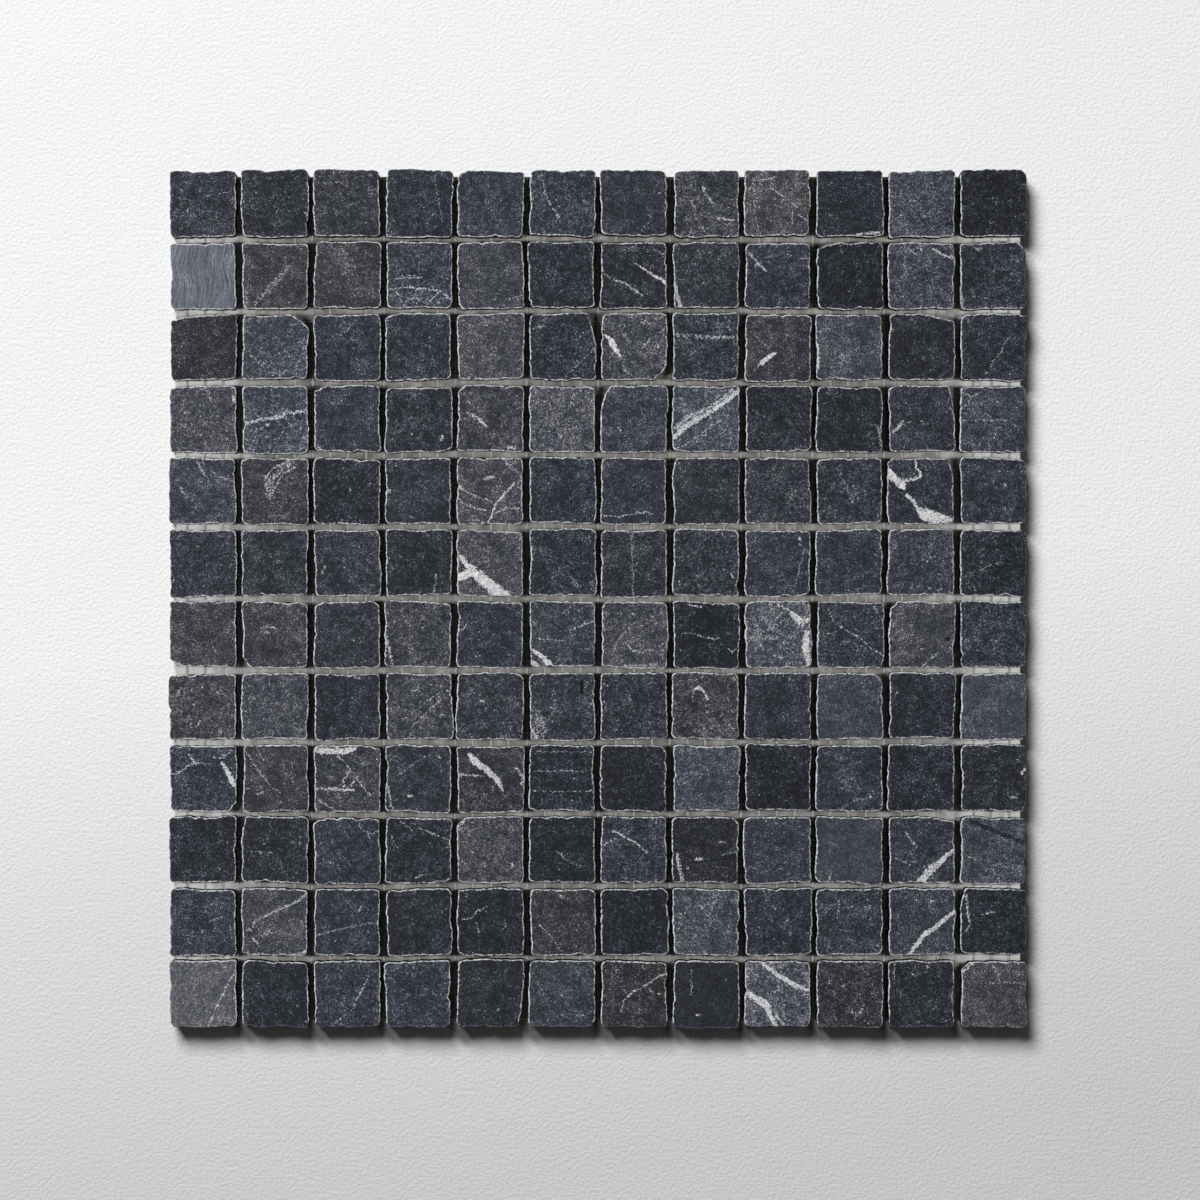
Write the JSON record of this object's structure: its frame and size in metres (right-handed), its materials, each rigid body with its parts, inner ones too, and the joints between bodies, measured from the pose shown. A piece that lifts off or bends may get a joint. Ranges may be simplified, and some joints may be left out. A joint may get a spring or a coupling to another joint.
{
  "type": "mosaic tile sheet",
  "caption": "Flat square sheet of small tumbled dark marble chips, glued in an even grid to an open glass-fibre net, for bonding to a floor or wall and grouting.",
  "frame": {"origin": "centre of the sheet's footprint on the net's underside, the plane that meets the floor or the adhesive", "axes": "+X along a row of chips, +Y up the sheet from the bottom row to the top one, +Z out of the stone faces"},
  "size_m": [0.3039, 0.3039, 0.0105],
  "materials": {
    "stone": "tumbled, dull, charcoal marble with pale specks and veins",
    "net": "resin-coated glass-fibre yarn, pale beige, semi-matt"
  },
  "bodies": {
    "root": {"tile_row_01": "stone", "tile_row_02": "stone", "tile_row_03": "stone", "tile_row_04": "stone", "tile_row_05": "stone", "tile_row_06": "stone", "tile_row_07": "stone", "tile_row_08": "stone", "tile_row_09": "stone", "tile_row_10": "stone", "tile_row_11": "stone", "tile_row_12": "stone", "net_panel_1": "net", "net_panel_2": "net", "net_panel_3": "net", "net_panel_4": "net", "net_panel_5": "net", "net_panel_6": "net"}
  },
  "joints": []
}
